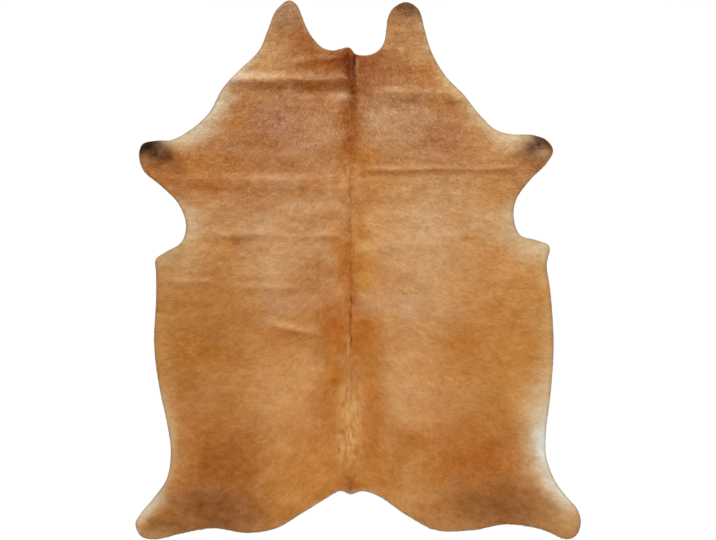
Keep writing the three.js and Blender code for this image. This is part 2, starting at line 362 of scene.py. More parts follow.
along = places(sections[:-1, 5], ROW_STEPS)
across = places(END_CUTS, COLUMN_STEPS)
share = np.interp(across, np.arange(ENDS + 1), np.concatenate([[0], neck[:, 0], [1]]))
spine = line_through(np.column_stack([np.full(LAST + 1, BACKBONE_X), sections[:, 2]]), along, False)
right_ear = 2 * LAST + 2 * ENDS
edge_at = lambda place: line_through(EDGE, place, True)
left = half_points(edge_at(along), edge_at(len(EDGE) - across), edge_at(LAST + across), spine, share)
right = half_points(edge_at(right_ear - along), edge_at(right_ear + across),
                    edge_at(LAST + 2 * ENDS - across), spine, share)
PLAN = np.concatenate([left, right[:, -2::-1]], axis=1)
ROWS, COLUMNS = PLAN.shape[:2]
print("grid of", ROWS, "by", COLUMNS, "points")

# %% From arrays to a mesh


def make_mesh(name, points, faces):
    """One object at the origin from points in mm on the hide's plan and faces with as many corners each."""
    place = np.array(points, dtype=np.float32)
    place[:, :2] -= MIDDLE
    mesh = bpy.data.meshes.new(name)
    mesh.vertices.add(len(place))
    mesh.vertices.foreach_set("co", (place * MM).ravel())
    sides = faces.shape[1]
    mesh.loops.add(faces.size)
    mesh.loops.foreach_set("vertex_index", faces.astype(np.int32).ravel())
    mesh.polygons.add(len(faces))
    mesh.polygons.foreach_set("loop_start", np.arange(0, faces.size, sides, dtype=np.int32))
    mesh.update(calc_edges=True)
    mesh.validate()
    piece = bpy.data.objects.new(name, mesh)
    bpy.context.scene.collection.objects.link(piece)
    return piece


def paint(piece, colours):
    """Stores one linear colour for each vertex in the attribute named coat."""
    layer = piece.data.color_attributes.new("coat", "FLOAT_COLOR", "POINT")
    rgba = np.ones((len(colours), 4), dtype=np.float32)
    rgba[:, :3] = colours
    layer.data.foreach_set("color", rgba.ravel())


# %% The sheet
BED = 3.8  # top of the dense under-hair, where the lying locks start
EDGE_BED, THIN_REACH = 1.8, 14.0  # its height at the trimmed edge and how far in from there it is thinner
# bevel of the cut edge: how far in its top lies and how high its corner is
RIM_INSET, RIM_HEIGHT = 2.0, 0.8
SHARP = 38.0  # degrees between two faces from which their edge shows


def bed(x, y):
    """Height of the under-hair over the flesh side, thinning by a soft step towards the trimmed edge."""
    return EDGE_BED + (BED - EDGE_BED) * smooth(room_at(np.column_stack([x, y])) / THIN_REACH)


number = np.arange(ROWS * COLUMNS).reshape(ROWS, COLUMNS)
corner = np.stack([number[:-1, :-1], number[1:, :-1], number[1:, 1:], number[:-1, 1:]], axis=-1)
corner = corner.reshape(-1, 4)
border = np.concatenate([number[:-1, 0], number[-1, :-1], number[:0:-1, -1], number[0, :0:-1]])
flat = PLAN.reshape(-1, 2)
edge_line = flat[border]
inward = inward_of(edge_line)

height = lift(flat[:, 0], flat[:, 1])
top = np.column_stack([flat, height + bed(*flat.T)])
top[border, :2] += inward * RIM_INSET
under = np.column_stack([flat, height])
rim = np.column_stack([edge_line, height[border] + RIM_HEIGHT])

n, ring = len(flat), np.arange(len(border))
after = np.roll(ring, -1)
edge_low = np.stack([border + n, border[after] + n, after + 2 * n, ring + 2 * n], axis=1)
edge_high = np.stack([ring + 2 * n, after + 2 * n, border[after], border], axis=1)
faces = np.concatenate([corner, corner[:, ::-1] + n, edge_low, edge_high])
skin = make_mesh("hide_skin", np.concatenate([top, under, rim]), faces)
slots = np.repeat([0, 1, 2], [len(corner), len(corner), 2 * len(border)])  # hair side, flesh side, cut edge
skin.data.polygons.foreach_set("material_index", slots.astype(np.int32))
skin.data.polygons.foreach_set("use_smooth", np.ones(len(faces), dtype=bool))
skin.data.set_sharp_from_angle(angle=math.radians(SHARP))
cells = flat[corner]
diagonal1, diagonal2 = cells[:, 2] - cells[:, 0], cells[:, 3] - cells[:, 1]
cell_area = 0.5 * np.abs(diagonal1[:, 0] * diagonal2[:, 1] - diagonal1[:, 1] * diagonal2[:, 0])

# %% [markdown]
# ## The colours of the coat
# The coat is a warm caramel tan that darkens to rust on the thighs and nearly black on the fore shanks,
# with cream hair along the trimmed edges and a dark stripe on the neck. No repeat could make that, and no
# picture is used: each region is a soft oval with a centre, two half sizes, a turn, a colour and a
# strength, laid over the ones before it. Some regions are painted light and shade beside folds, and some
# hold a painted sheen. More tables give the pale hair along the trimmed edge, the dark tips and the thin
# seams, with painted shade in two creases. Small functions add the tufts on the rump and the painted light
# and shade of the folds, and noise at several sizes mottles the whole.

# %% Regions of the coat
# centre x, y, half width, half height, turn in degrees, colour, strength
REGIONS = {
    "left flank ochre": (-650, -285, 280, 345, 0, "#AB6F35", 0.90),
    "right flank ochre": (590, -270, 250, 385, 0, "#BA7B3A", 0.90),
    "left rib pale": (-320, 165, 255, 195, 0, "#C29167", 0.90),
    "right rib pale": (270, 112, 210, 270, 0, "#CA9D70", 0.95),
    # the two pinkish neck regions are partly hair colour, partly painted sheen where the hair lies another
    # way
    "left neck pink": (-300, 590, 185, 120, 0, "#B38160", 0.95),
    "right neck grey pink": (220, 620, 140, 140, 0, "#B78A66", 0.95),
    "left loin tan": (-300, -530, 145, 198, 0, "#C88F59", 0.90),
    "right loin pale": (216, -500, 110, 215, 0, "#CE9864", 0.90),
    "rump gold": (-75, -835, 385, 120, 0, "#BC7A3A", 0.90),
    "left thigh rust": (-556, -790, 125, 145, 0, "#9B5A29", 0.95),
    "right thigh rust": (515, -774, 235, 116, 0, "#A9632E", 0.95),
    "left ear grey": (-300, 1050, 75, 80, 0, "#A5805F", 0.95),
    "left ear root": (-225, 932, 72, 55, -40, "#A2663A", 0.95),
    "left neck pale": (-375, 865, 75, 55, 0, "#BE8E5A", 0.90),
    # partly whitish hair, partly painted light on the lit neck side of the left neck fold
    "left fold pale hair and painted light": (-450, 790, 90, 15, 2, "#DEBEA0", 0.80),
    "left nape brown": (-135, 855, 100, 40, 0, "#A4663C", 0.85),
    # partly deeper brown hair, partly painted shade in the lee of the left neck fold
    "left fold brown and painted shade": (-235, 752, 170, 20, 0, "#844A26", 0.60),
    "left neck gold": (-482, 622, 62, 46, 40, "#A86931", 0.88),
    "left arm rust": (-725, 372, 170, 85, 0, "#AE6F3C", 0.90),
    "left arm gold": (-680, 428, 100, 40, 0, "#B07032", 0.85),
    "left shoulder rust": (-410, 325, 165, 33, 0, "#B0744B", 0.60),
    "left chest brown": (-452, 522, 110, 45, 0, "#A4683C", 0.80),
    "left rib spot": (-502, 133, 24, 17, 0, "#94622F", 0.90),
    "left rib ochre": (-625, 80, 120, 50, 0, "#BE8549", 0.70),
    "left back pale": (-345, -20, 65, 130, 0, "#C89C70", 0.80),
    "left back rust": (-178, -42, 95, 80, 0, "#B67A4A", 0.80),
    # partly hair colour, partly painted sheen where the hair lies another way
    "left back pink": (-300, -135, 90, 48, 0, "#BE8860", 0.70),
    # painted light on the lit neck side of the left back crease
    "left crease painted light": (-268, -228, 80, 13, -12, "#DAAA74", 0.45),
    "left loin light": (-230, -410, 90, 30, 0, "#CA9660", 0.55),
    "left hind brown": (-588, -970, 160, 78, 0, "#845330", 0.95),
    "left heel tan": (-770, -1052, 110, 38, 0, "#8A562C", 0.92),
    "left rump gold": (-325, -972, 90, 75, 0, "#C08446", 0.80),
    "nape dark": (-42, 846, 27, 56, 0, "#66301A", 0.90),
    "withers brown": (-28, 578, 42, 98, 0, "#A05C2A", 0.90),
    "back rust left": (-60, 45, 32, 95, 0, "#B2682A", 0.88),
    "back gold right": (24, -8, 42, 75, 0, "#C08038", 0.75),
    "back line": (-30, -100, 20, 90, 0, "#AE6632", 0.70),
    "loin orange left": (-90, -250, 46, 75, 0, "#AE6222", 0.85),
    "loin orange right": (24, -256, 48, 95, 0, "#AC5F24", 0.90),
    "loin orange low": (56, -509, 38, 150, 0, "#B8702C", 0.75),
    "tail brown": (-41, -855, 40, 38, 0, "#9E5C2C", 0.50),
    "right ear tan": (185, 985, 75, 65, 0, "#B07F55", 0.95),
    "right nape brown": (52, 852, 65, 55, 0, "#92502A", 0.90),
    "right neck rust": (165, 812, 90, 40, 0, "#A5663A", 0.90),
    "right neck orange": (300, 790, 55, 40, 0, "#B5763C", 0.80),
    "right neck gold": (330, 682, 90, 32, -12, "#AE723A", 0.75),
    "right neck light": (75, 635, 50, 55, 0, "#C39570", 0.80),
    "right shoulder rust": (348, 530, 95, 58, 0, "#A86A42", 0.90),
    "right arm crease": (470, 400, 180, 10, 0, "#C08A5C", 0.40),
    "right arm tan": (420, 438, 150, 27, 0, "#B47A50", 0.70),
    "right rib light": (80, 180, 80, 55, 0, "#D09C64", 0.70),
    # partly hair colour, partly painted sheen where the hair lies another way
    "right back pink": (200, -145, 165, 46, 0, "#CA9B70", 0.85),
    "right loin spot": (245, -695, 80, 36, -15, "#A8642C", 0.75),
    "right hind brown": (592, -975, 222, 80, -8, "#8B5933", 0.95),
    "right hind halo": (728, -625, 58, 165, 0, "#CFAE82", 0.85),
    "right heel tan": (852, -1032, 60, 48, 0, "#B8884F", 0.85),
    "right rump tan": (232, -835, 102, 95, 0, "#BC7E42", 0.70),
    "nape brown": (-72, 850, 30, 30, 0, "#82442A", 0.70),
    "withers deep": (-28, 532, 27, 60, 0, "#925020", 0.75),
    "withers gold": (0, 466, 62, 32, 0, "#B87434", 0.65),
    "left fold crest": (-105, 792, 92, 18, 0, "#8E5636", 0.85),
    "back gold spot": (8, 237, 22, 30, 0, "#B8702C", 0.70),
    "back gold mark": (0, 148, 25, 32, 0, "#AE6524", 0.85),
    "back light": (28, 94, 42, 16, 0, "#D2A060", 0.70),
    "loin orange side": (-98, -430, 30, 60, 0, "#B26824", 0.80),
    "left shank rust": (-765, 436, 55, 36, -20, "#94592F", 0.65),
    "right hind gold": (740, -940, 50, 60, 30, "#A06C39", 0.70),
    "left shoulder light": (-306, 366, 90, 18, 0, "#C48E62", 0.60),
    "left chest rust": (-368, 425, 90, 25, 0, "#A5693D", 0.75),
    "right armpit tan": (540, 203, 80, 55, 0, "#D6AE82", 0.75),
    "right flank pale": (690, 68, 65, 48, 0, "#D2B088", 0.80),
    "left throat pale": (-517, 696, 50, 38, 40, "#CCAA86", 0.88),
    "left brisket pale": (-672, 540, 50, 26, 25, "#CFB08A", 0.75),
    "right nape deep": (30, 795, 38, 42, 0, "#8C4C27", 0.70),
    "left hind corner": (-448, -1000, 85, 55, 0, "#8E5630", 0.65),
    "withers top": (-45, 665, 28, 42, 0, "#93522A", 0.70),
    "neck stripe side": (48, 688, 40, 40, 0, "#A2683E", 0.75),
    "left flank top": (-735, 5, 80, 75, 0, "#C29868", 0.75),
    "left back brown": (-57, 190, 27, 100, 0, "#BC7E43", 0.60),
    "right shoulder gold": (50, 345, 45, 95, 0, "#C27E40", 0.65),
    "back ochre right": (90, 15, 50, 55, 0, "#C0824A", 0.65),
    "back pale left": (-70, -86, 32, 26, 0, "#CE9260", 0.75),
    "left loin rust": (-100, -235, 34, 50, 0, "#B56B32", 0.60),
    "left rump ochre": (-130, -600, 50, 130, 0, "#B46E32", 0.55),
    "nape stripe": (-26, 806, 14, 40, 0, "#6A321A", 0.75),
    "withers curl": (-5, 362, 15, 40, 0, "#D29A64", 0.65),
    "right arm rust": (70, 392, 75, 16, 0, "#AE6830", 0.60),
    "back rust deep": (-45, 64, 20, 60, 0, "#A25C22", 0.75),
    "back gold line": (-4, 36, 18, 40, 0, "#B26C2E", 0.60),
    "back blot": (-16, -112, 14, 26, 0, "#A05E2C", 0.75),
    "left chest pale": (-600, 582, 45, 30, 35, "#CCA47A", 0.70),
    "left ear root pale": (-325, 890, 45, 30, 0, "#C4946A", 0.70),
    "right ear root pale": (266, 855, 40, 36, 0, "#C8965F", 0.80),
    "right hind rust": (655, -915, 65, 42, 0, "#915830", 0.75),
    "right hind pale": (788, -885, 38, 42, 40, "#D2B288", 0.70),
    # painted shade below the left back crease, on its tail side
    "left crease painted shade": (-285, -272, 95, 18, -12, "#B9713C", 0.40),
    "left rib smudge": (-575, 212, 30, 10, 0, "#B07C48", 0.25),
    "left shoulder spot": (-412, 240, 18, 12, 0, "#A8703C", 0.50),
    "left shoulder mark": (-227, 336, 16, 12, 0, "#A06834", 0.65),
    "left shoulder ochre": (-167, 350, 55, 30, 0, "#B67643", 0.50),
    "right back smear": (195, -93, 42, 8, 0, "#B4743E", 0.60),
    "left neck glow": (-462, 708, 60, 26, 0, "#C69464", 0.70),
    "left withers pale": (-165, 552, 90, 32, 0, "#C69068", 0.70),
    "back glow": (56, 206, 30, 30, 0, "#D8A46E", 0.65),
    "right rump pale": (290, -575, 60, 50, 0, "#CE925A", 0.55),
    "right throat pale": (475, 535, 50, 52, 0, "#CA9662", 0.65),
    "right rump orange": (62, -620, 42, 90, 0, "#B26A30", 0.50),
    "neck side dark": (-50, 748, 26, 26, 0, "#743A1A", 0.80),
    "left lee light": (-338, 722, 60, 14, 0, "#C28A5C", 0.60),
    "withers curl left": (-58, 362, 18, 24, 0, "#D8A066", 0.60),
    "right side pale": (600, 125, 60, 35, 0, "#CFA97A", 0.75),
    "left hind low": (-560, -1040, 70, 25, 0, "#7E5030", 0.70),
    "right fold crest": (115, 738, 80, 22, 0, "#A2683C", 0.60),
    "right rump light": (190, -955, 60, 40, 0, "#D29A5E", 0.75),
    "left neck brown": (-310, 655, 160, 30, 0, "#A46C46", 0.60),
    "right side gold": (590, 32, 90, 58, 0, "#D0985E", 0.65),
    "left ear tan": (-250, 1015, 48, 45, 0, "#A26E48", 0.70),
    "right side light": (185, 312, 60, 34, 0, "#CC9C6C", 0.40),
    "right back tan": (158, -22, 65, 30, 0, "#B87C4A", 0.60),
    "right rib glow": (272, 68, 90, 34, 0, "#D2A274", 0.75),
    "left stifle tan": (-692, -565, 75, 95, 0, "#B67C4A", 0.60),
    "right flank rust": (430, -325, 75, 60, 0, "#B06C30", 0.55),
    "right forearm rust": (675, 368, 55, 35, 0, "#A66838", 0.65),
    "right hind low": (585, -1020, 75, 22, 0, "#A06C40", 0.50),
    "right belly gold": (690, -130, 45, 80, 0, "#C68C4C", 0.60),
    "right arm crest": (590, 432, 75, 10, 0, "#A87048", 0.50),
    # painted light on the lit neck side of the left rib crease
    "left rib crest painted light": (-440, 163, 110, 9, 0, "#D2A680", 0.35),
    "left elbow rust": (-735, 308, 45, 35, 0, "#A66A3C", 0.75),
    "left neck light": (-72, 704, 38, 16, 8, "#CFA080", 0.70),
    "back pale right": (20, -106, 24, 20, 0, "#CE9A6C", 0.70),
    "neck dark": (-16, 704, 16, 60, 0, "#763A10", 0.80),
}
REGION_FALL = 0.7  # how fast an oval fades from its centre
FRAY = ((5, 150, 120, 0), (7, 60, 48, 20), (7, 22, 17.6, 40))  # shift, blotch width and height, turn
FRAY_SEEDS = (71, 74)  # first seeds of the shifts in x and in y


def blend(colours, hex_colour, weight):
    """Moves each colour towards one hex colour by its own weight."""
    return colours + (srgb(hex_colour) - colours) * weight[:, None]


def wander(x, y, seed):
    """A shift in mm from noise at three sizes, which frays the edges of the regions."""
    return sum(k * mottle(x, y, wide, tall, seed + n, turn)
               for n, (k, wide, tall, turn) in enumerate(FRAY))


def ovals(colours, table, fray, x, y):
    """Colours with the ovals of a table laid over them at places frayed by a share of the shift, each by
    the weight strength * exp(-fall * r^2), where r is the distance from its centre in half sizes."""
    x, y = x + fray * wander(x, y, FRAY_SEEDS[0]), y + fray * wander(x, y, FRAY_SEEDS[1])
    for cx, cy, wide, tall, turn, hex_colour, strength in table.values():
        u, v = turned(x - cx, y - cy, turn)
        far = (u / wide) ** 2 + (v / tall) ** 2
        colours = blend(colours, hex_colour, strength * np.exp(-REGION_FALL * far))
    return colours


print(len(REGIONS), "regions of coat colour")

# %% Pale hair along the trimmed edge
# centre x, y, half length along the edge, depth from the edge, colour, strength
EDGES = {
    "left ear": (-360, 960, 100, 12, "#CDA886", 0.45),
    "left neck": (-480, 820, 90, 22, "#D8BEA0", 0.80),
    "left throat": (-590, 680, 110, 33, "#D8C4A8", 0.90),
    "left brisket": (-672, 572, 85, 42, "#D6C2A6", 0.90),
    "left elbow": (-790, 345, 70, 24, "#C29064", 0.35),
    "left armpit": (-705, 185, 80, 66, "#D6BC9C", 0.85),
    "left flank corner": (-800, 70, 70, 34, "#C8AC8C", 0.80),
    "left belly": (-828, -230, 330, 50, "#BE9058", 0.62),
    "left flank": (-775, -660, 170, 26, "#CDAC86", 0.80),
    "left hind": (-868, -955, 90, 31, "#DCD0B8", 0.92),
    "right ear": (285, 930, 130, 22, "#D0AC80", 0.60),
    "right neck": (400, 745, 110, 21, "#D6B486", 0.80),
    "right throat": (510, 620, 110, 30, "#DCC29A", 0.88),
    "right brisket": (640, 550, 95, 62, "#DABE9A", 0.94),
    "right armpit": (645, 185, 70, 50, "#D4BC9C", 0.85),
    "right flank corner": (755, 105, 80, 60, "#DCCCB0", 0.92),
    "right belly": (785, -150, 250, 40, "#C99E68", 0.75),
    "right flank": (795, -500, 150, 38, "#D2B48C", 0.60),
    "right hind white": (764, -715, 125, 54, "#DEDCD2", 0.96),
    "right hind": (846, -895, 88, 50, "#E2DAC6", 0.95),
    "rump": (-20, -930, 130, 8, "#DDBB94", 0.50),
    "nape": (-110, 900, 110, 7, "#C09474", 0.45),
    "left shank top": (-770, 530, 48, 26, "#D8C0A0", 0.75),
    "right shank top": (690, 552, 40, 9, "#D8BE9C", 0.70),
}
EDGE_UNEVEN = ((0.35, 45, 45, 81), (0.25, 14, 14, 82))  # strength, blotch width and height, seed
CUT_SHADE, CUT_STRENGTH, CUT_REACH = "#7D6A55", 0.3, 5.0  # hair made darker and greyer right at the cut


def edge_hair(colours, x, y):
    """Hair along the trimmed edge: each stretch lays its colour on by its strength times two bell curves,
    one of the distance along the hide and one of the depth from the edge, which noise makes uneven."""
    depth = np.maximum(room_at(np.column_stack([x, y])), 0)
    uneven = sum((k * mottle(x, y, *noise) for k, *noise in EDGE_UNEVEN), 1)
    for cx, cy, half, reach, hex_colour, strength in EDGES.values():
        far = ((x - cx) ** 2 + (y - cy) ** 2) / half**2 + (depth / (reach * uneven)) ** 2
        colours = blend(colours, hex_colour, strength * np.exp(-REGION_FALL * far))
    return blend(colours, CUT_SHADE, CUT_STRENGTH * np.exp(-(depth / CUT_REACH) ** 2))


# dark hair of the shanks and the right ear, which covers the pale edge, and two pale marks
TIPS = {
    "left shank brown": (-828, 476, 58, 38, -8, "#4E301B", 1.00),
    "left shank black": (-860, 509, 35, 21, 16, "#211712", 1.00),
    "left shank spot": (-777, 464, 16, 11, 0, "#5A341A", 0.70),
    "left shank curl": (-810, 493, 16, 6, -50, "#86603E", 0.55),
    "left shank low": (-878, 448, 18, 18, 0, "#A56E44", 0.60),
    "left shank heel": (-790, 420, 58, 18, -25, "#98643E", 0.75),
    "right shank tan": (745, 454, 68, 44, 20, "#9A6B46", 0.85),
    "right shank brown": (668, 474, 30, 16, 10, "#96623C", 0.60),
    "right shank pink": (748, 474, 28, 16, 10, "#B48C6A", 0.85),
    "right shank dark": (704, 495, 22, 25, 20, "#664C3C", 0.95),
    "right shank edge": (760, 524, 36, 14, -36, "#3C2A1E", 0.95),
    "right ear dark": (206, 1076, 58, 36, 0, "#704E36", 0.94),
    "right shank bar": (736, 516, 14, 24, 8, "#463024", 0.80),
    "left shank rim": (-887, 492, 9, 16, 0, "#2A1C16", 0.75),
    "tuft crest": (-47, -730, 18, 5, 0, "#DDB68C", 0.70),
    "neck mark": (-60, 705, 32, 9, 8, "#D8B294", 0.60),
}
TIP_FRAY = 0.7  # share of the regions' fraying
print(len(EDGES), "stretches of pale edge,", len(TIPS), "tips and marks")

# %% Seams in the coat and painted shade in its creases
# from x, y, to x, y, half width, colour, strength
SEAMS = {
    # dark hair at the nape, with painted shade of a crease along it
    "nape crease": (-18, 900, -16, 772, 7, "#3E1C10", 0.75),
    "nape line": (-36, 890, -32, 785, 3, "#5A2A16", 0.60),
    "neck line": (-22, 800, -24, 690, 9, "#6A3216", 0.70),
    "back parting": (-34, 500, -29, -125, 6, "#90562A", 0.60),
    "loin parting": (-29, -90, -29, -330, 4.2, "#6E3814", 0.95),
    "loin pale": (-38, -250, -38, -360, 4, "#DDAE78", 0.55),
    "rump parting": (-26, -300, -32, -480, 3.5, "#94562A", 0.42),
    # painted shade of a crease at the tail
    "tail crease": (-38, -840, -27, -912, 9, "#7A401E", 0.45),
    "left rib line": (-164, 90, -160, -240, 2.8, "#9C6038", 0.62),
    "nape pale": (-29, 895, -26, 780, 2.5, "#A07A60", 0.60),
    "tuft parting": (-32, -455, -31, -545, 4, "#A8643A", 0.70),
    "nape pale right": (-4, 882, -2, 742, 2.8, "#C0926E", 0.75),
}
SEAM_WANDER = (4.5, 28, 51)  # how far a seam strays, over what length, first seed
SEAM_STRENGTH = 0.7  # mean share of a seam's strength that shows
SEAM_UNEVEN = (0.4, 30, 151)  # how much that share varies, over what length, first seed
SEAM_FADE = 0.15  # share of its length over which each end fades


def seams(colours, x, y):
    """Thin lines where the coat parts, and painted shade where the skin is creased: along each line the
    colour is laid on by strength * exp(-(distance / half width)^2), wandering a little and fading at both
    ends."""
    for number, (x0, y0, x1, y1, half, hex_colour, strength) in enumerate(SEAMS.values()):
        along = (y - y0) / (y1 - y0)
        middle = x0 + (x1 - x0) * along + ripple(y, SEAM_WANDER, number)
        uneven = SEAM_STRENGTH + ripple(y, SEAM_UNEVEN, number)
        window = smooth(along / SEAM_FADE) * smooth((1 - along) / SEAM_FADE)
        weight = strength * uneven * window * np.exp(-((x - middle) / half) ** 2)
        colours = blend(colours, hex_colour, weight)
    return colours


print(len(SEAMS), "seams")

# %% Tufts on the rump
TUFT_X, TUFT_FRONT, TUFT_BACK, TUFT_REACH = -36.0, -440.0, -850.0, 50.0
FRONT_FADE, BACK_FADE, SIDE_POWER = 70.0, 110.0, 6  # how softly the strip of tufts ends
LEFT_DABS, RIGHT_DABS = (22, 7, 53, 78), (22, 7, 54, -78)  # length, width, seed, turn
# colour and strength of the strip, of its light dabs and of its dark ones
TUFT_BASE, TUFT_LIGHT, TUFT_DARK = ("#CB8F52", 0.85), ("#E0B47C", 0.50), ("#94582A", 0.50)


def tuft_dabs(x, y):
    """How far a place lies in the strip of tufts, from 0 to 1, and the strip's own noise: dabs along the
    hide that slant outwards on each side of the strip's middle."""
    window = smooth((TUFT_FRONT - y) / FRONT_FADE) * smooth((y - TUFT_BACK) / BACK_FADE)
    strip = window * np.exp(-((x - TUFT_X) / TUFT_REACH) ** SIDE_POWER)
    dabs = np.where(x < TUFT_X, mottle(x, y, *LEFT_DABS), mottle(x, y, *RIGHT_DABS))
    return strip, dabs


def tufts(colours, x, y):
    """The strip's own colour and light and dark dabs in it."""
    strip, dabs = tuft_dabs(x, y)
    colours = blend(colours, TUFT_BASE[0], TUFT_BASE[1] * strip)
    colours = blend(colours, TUFT_LIGHT[0], TUFT_LIGHT[1] * strip * np.clip(dabs, 0, 1))
    return blend(colours, TUFT_DARK[0], TUFT_DARK[1] * strip * np.clip(-dabs, 0, 1))


print("tufts over", TUFT_FRONT - TUFT_BACK, "mm of the rump")

# %% Painted light and shade of the folds
# painted shade on the tail side of each fold and painted light on its neck side, as the lamp falls
LEE_PAINTED_SHADE, CREST_PAINTED_LIGHT = ("#8E5026", 0.50), ("#E2B890", 0.22)  # shaded and lit side of a fold: colour, strength
FULL_SLOPE = 0.25  # slope from which the shade is full
SLOPE_STEP = 2.0  # how far to either side the heights are compared


def slope(x, y, across, along):
    """Slope of the lifted skin across or along the hide: the difference of its heights a step to either
    side, divided by both steps."""
    dx, dy = across * SLOPE_STEP, along * SLOPE_STEP
    return (lift(x + dx, y + dy) - lift(x - dx, y - dy)) / (2 * SLOPE_STEP)


def fold_shade(colours, x, y):
    """Painted shade on the tail side of a fold, which faces away from the lamp, and painted light on its
    neck side, which faces the lamp, by the slope of the skin along the hide."""
    steep = slope(x, y, 0, 1) / FULL_SLOPE
    colours = blend(colours, LEE_PAINTED_SHADE[0], LEE_PAINTED_SHADE[1] * np.clip(steep, 0, 1))
    return blend(colours, CREST_PAINTED_LIGHT[0], CREST_PAINTED_LIGHT[1] * np.clip(-steep, 0, 1))


print("the shade of a fold is full from a slope of", FULL_SLOPE)

# %% Mottling and the whole coat
# strength in sRGB steps, blotch width and height, seed, turn: streaks in front, bands everywhere but on the
# thighs, and round blotches there
STREAKS = ((0.025, 26, 9, 21, 2), (0.021, 60, 20, 22, -3), (0.022, 120, 55, 23, 4))
BANDS = ((0.034, 13, 10, 31, 2), (0.023, 44, 24, 32, -2), (0.022, 80, 60, 33, 15))
BLOTCHES = ((0.034, 14, 12, 34, 20), (0.021, 34, 32, 35, 50), (0.022, 80, 60, 33, 15))
BROAD = 40.0  # noise wider than this changes how pale the hair is, finer noise only how light
PALE_TINT = np.array([0.7, 1.0, 1.15])  # paler hair gains most in blue
HUES = ((0.010, 40, 32, 41, 30), (0.012, 120, 90, 42, 65))  # the same numbers for the drift in hue
HUE_TINT = np.array([-0.77, -0.05, 0.64])  # from reddish to greyish tan
FRONT_START, FRONT_FULL = -150.0, 350.0  # where the front begins, and over what length it comes in
HIND_START, HIND_FULL = -480.0, 200.0  # the same for the thighs
GLOSS = 0.010  # white that the gloss of the hair adds, in linear light
DARKEST = 0.003  # linear light of the blackest hair


def front_share(y):
    """A soft step from 0 on the back to 1 on the shoulders."""
    return smooth((y - FRONT_START) / FRONT_FULL)


def hind_share(y):
    """A soft step from 0 on the loin to 1 on the thighs."""
    return smooth((HIND_START - y) / HIND_FULL)


def hair_light(colours):
    """Linear colour under the gloss: the gloss of the hair adds a little white, which is taken off here."""
    return np.maximum(linear(colours) - GLOSS, DARKEST)


def coat_colour(x, y):
    """sRGB colours of the coat at plan points: regions, fold shade, tufts, seams, edges and tips, then
    lightness and paleness by noise, more of it in front, and a faint drift from reddish to greyish tan."""
    colours = ovals(np.tile(srgb(TAN), (len(x), 1)), REGIONS, 1.0, x, y)
    for change in (fold_shade, tufts, seams, edge_hair):
        colours = change(colours, x, y)
    colours = ovals(colours, TIPS, TIP_FRAY, x, y)
    front, hind = front_share(y), hind_share(y)
    for amount, noises in ((front, STREAKS), (1 - hind, BANDS), (hind, BLOTCHES)):
        for strength, wide, *rest in noises:
            tint = PALE_TINT if wide > BROAD else np.ones(3)
            colours = colours + (amount * strength * mottle(x, y, wide, *rest))[:, None] * tint
    drift = sum(k * mottle(x, y, *noise) for k, *noise in HUES)
    return np.clip(colours + drift[:, None] * HUE_TINT, 0.0, 1.0)


skin_colour = hair_light(coat_colour(flat[:, 0], flat[:, 1]))
paint(skin, np.concatenate([skin_colour, skin_colour, skin_colour[border]]))
print("mean linear colour of the coat:", skin_colour.mean(0).round(3).tolist())

# %% [markdown]
# ## Finishes
# Three finishes show on a hide. The hair is smooth keratin with a soft gloss along the strands; its colour
# comes from the coat attribute, with strand lines from noise. The cut edge is raw leather, grey-brown and
# fibrous. The flesh side is suede: buffed, pale and dull. One small function adds a node with its settings
# and links, so each finish reads as a list of what it is made of.

# %% Adding a node


def add(tree, kind, settings, inputs):
    """A node of one kind: settings are its properties, inputs are numbers or sockets by name or index."""
    node = tree.nodes.new(kind)
    for name, value in settings.items():
        setattr(node, name, value)
    for name, value in inputs.items():
        if isinstance(value, bpy.types.NodeSocket):
            tree.links.new(value, node.inputs[name])
        else:
            node.inputs[name].default_value = value
    return node


def new_finish(name):
    """An empty material and its node tree."""
    material = bpy.data.materials.new(name)
    material.use_nodes = True
    tree = material.node_tree
    tree.nodes.clear()
    return material, tree


def finished(tree, inputs):
    """Joins a Principled shader with these inputs to the material's output."""
    shader = add(tree, "ShaderNodeBsdfPrincipled", {}, inputs)
    add(tree, "ShaderNodeOutputMaterial", {}, {"Surface": shader.outputs["BSDF"]})


# %% Lying cow hair
# Keratin strands give a soft broad gloss and fine light and dark lines. A real hair is under 0.1 mm wide,
# too fine to show, so the strands are drawn 0.8 mm wide and 10 mm long.
STRAND_WIDE, STRAND_LONG = 0.8, 10.0
GRAIN, GRAIN_WEIGHT = 7.0, 2.0  # mm between light and dark specks, and how much they count
KERATIN_IOR, KERATIN_SHEEN = 1.55, 0.1  # the level is low, because hairs shade each other's gloss
HAIR_RELIEF, RELIEF_STRENGTH = 0.2, 0.15  # mm from crest to hollow of the strands, how much it shows


def hair_finished(tree, lines, shade, rough):
    """Ends a finish of hair: coat colour times a shade, lines as low relief and the gloss of keratin."""
    coat = add(tree, "ShaderNodeAttribute", {"attribute_name": "coat"}, {})
    colour = add(tree, "ShaderNodeMixRGB", {"blend_type": "MULTIPLY"}, {
        "Fac": 1.0, "Color1": coat.outputs["Color"], "Color2": shade.outputs["Result"]})
    bump = add(tree, "ShaderNodeBump", {}, {
        "Height": lines.outputs["Fac"], "Strength": RELIEF_STRENGTH, "Distance": HAIR_RELIEF * MM})
    finished(tree, {
        "Base Color": colour.outputs["Color"], "Roughness": rough, "Normal": bump.outputs["Normal"],
        "IOR": KERATIN_IOR, "Specular IOR Level": KERATIN_SHEEN})


